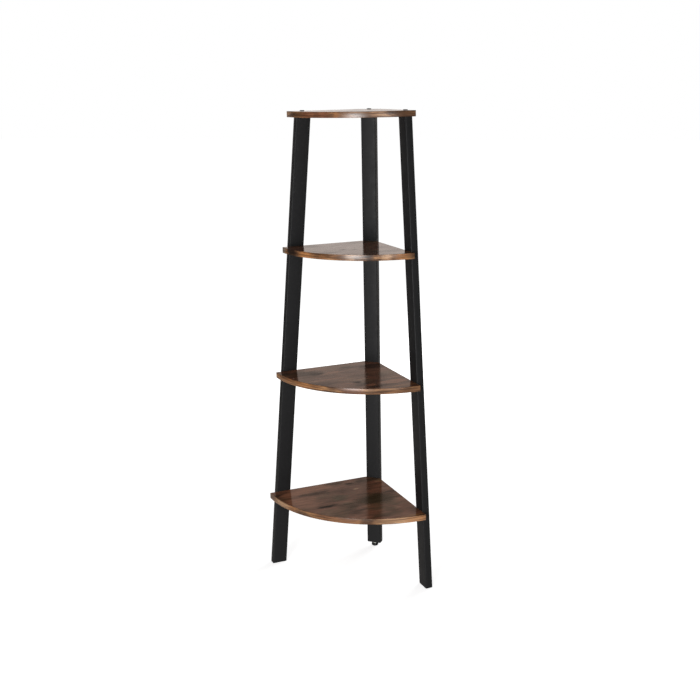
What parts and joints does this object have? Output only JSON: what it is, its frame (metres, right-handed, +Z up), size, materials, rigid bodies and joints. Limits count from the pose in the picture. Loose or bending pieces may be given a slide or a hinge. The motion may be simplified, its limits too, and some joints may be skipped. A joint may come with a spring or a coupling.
{
  "type": "corner shelf unit",
  "caption": "Corner shelf unit: quarter-round wood-look boards bolted to black rectangular steel tube legs, the front ones splayed, the rear one on a levelling foot.",
  "frame": {"origin": "on the floor, under the middle of the unit's bounding box", "axes": "+Z up; the room side faces -Y and the wall corner is behind the unit, towards +Y; +X to the right as seen from the room"},
  "size_m": [0.4772, 0.3198, 1.2418],
  "materials": {
    "laminated_board": "satin printed laminate, dark rustic brown wood grain",
    "edge_band": "satin printed edge band, lighter orange-brown wood grain",
    "black_steel": "black powder coat, fine texture",
    "black_plastic": "moulded black plastic",
    "zinc_steel": "bright zinc plate",
    "black_bolt": "black oxide, satin"
  },
  "bodies": {
    "frame": {"top_shelf": "laminated_board", "top_shelf_front_band": "edge_band", "top_shelf_left_band": "edge_band", "top_shelf_right_band": "edge_band", "top_shelf_rear_band": "edge_band", "upper_shelf": "laminated_board", "upper_shelf_front_band": "edge_band", "upper_shelf_left_band": "edge_band", "upper_shelf_right_band": "edge_band", "upper_shelf_rear_band": "edge_band", "middle_shelf": "laminated_board", "middle_shelf_front_band": "edge_band", "middle_shelf_left_band": "edge_band", "middle_shelf_right_band": "edge_band", "middle_shelf_rear_band": "edge_band", "bottom_shelf": "laminated_board", "bottom_shelf_front_band": "edge_band", "bottom_shelf_left_band": "edge_band", "bottom_shelf_right_band": "edge_band", "bottom_shelf_rear_band": "edge_band", "left_leg": "black_steel", "left_leg_top_plate": "black_steel", "left_leg_weld_nut": "zinc_steel", "top_shelf_left_bolt": "black_bolt", "upper_shelf_left_bolt": "black_bolt", "upper_shelf_left_barrel_nut": "zinc_steel", "middle_shelf_left_bolt": "black_bolt", "middle_shelf_left_barrel_nut": "zinc_steel", "bottom_shelf_left_bolt": "black_bolt", "bottom_shelf_left_barrel_nut": "zinc_steel", "right_leg": "black_steel", "right_leg_top_plate": "black_steel", "right_leg_weld_nut": "zinc_steel", "top_shelf_right_bolt": "black_bolt", "upper_shelf_right_bolt": "black_bolt", "upper_shelf_right_barrel_nut": "zinc_steel", "middle_shelf_right_bolt": "black_bolt", "middle_shelf_right_barrel_nut": "zinc_steel", "bottom_shelf_right_bolt": "black_bolt", "bottom_shelf_right_barrel_nut": "zinc_steel", "rear_leg": "black_steel", "rear_leg_top_plate": "black_steel", "rear_leg_weld_nut": "zinc_steel", "top_shelf_rear_bolt": "black_bolt", "upper_shelf_rear_bolt": "black_bolt", "upper_shelf_rear_barrel_nut": "zinc_steel", "middle_shelf_rear_bolt": "black_bolt", "middle_shelf_rear_barrel_nut": "zinc_steel", "bottom_shelf_rear_bolt": "black_bolt", "bottom_shelf_rear_barrel_nut": "zinc_steel", "left_leg_foot_cap": "black_plastic", "right_leg_foot_cap": "black_plastic", "rear_leg_foot_insert": "black_plastic"},
    "foot_pad": {"rear_foot_pad": "black_plastic"},
    "foot_stud": {"rear_foot_stud": "zinc_steel"}
  },
  "joints": [
    {"name": "rear_foot_height", "type": "slide", "parent": "frame", "child": "foot_pad", "axis": [0, 0, -1], "range_m": [-0.0015, 0.008]},
    {"name": "rear_foot_screw", "type": "hinge", "parent": "foot_pad", "child": "foot_stud", "pos_m": [0, 0.14784, 0.01], "axis": [0, 0, -1], "range_deg": [-440, 2320]}
  ],
  "couplings": [
    {"joint": "rear_foot_screw", "follows": "rear_foot_height", "rad_per_m": 5026.5}
  ]
}
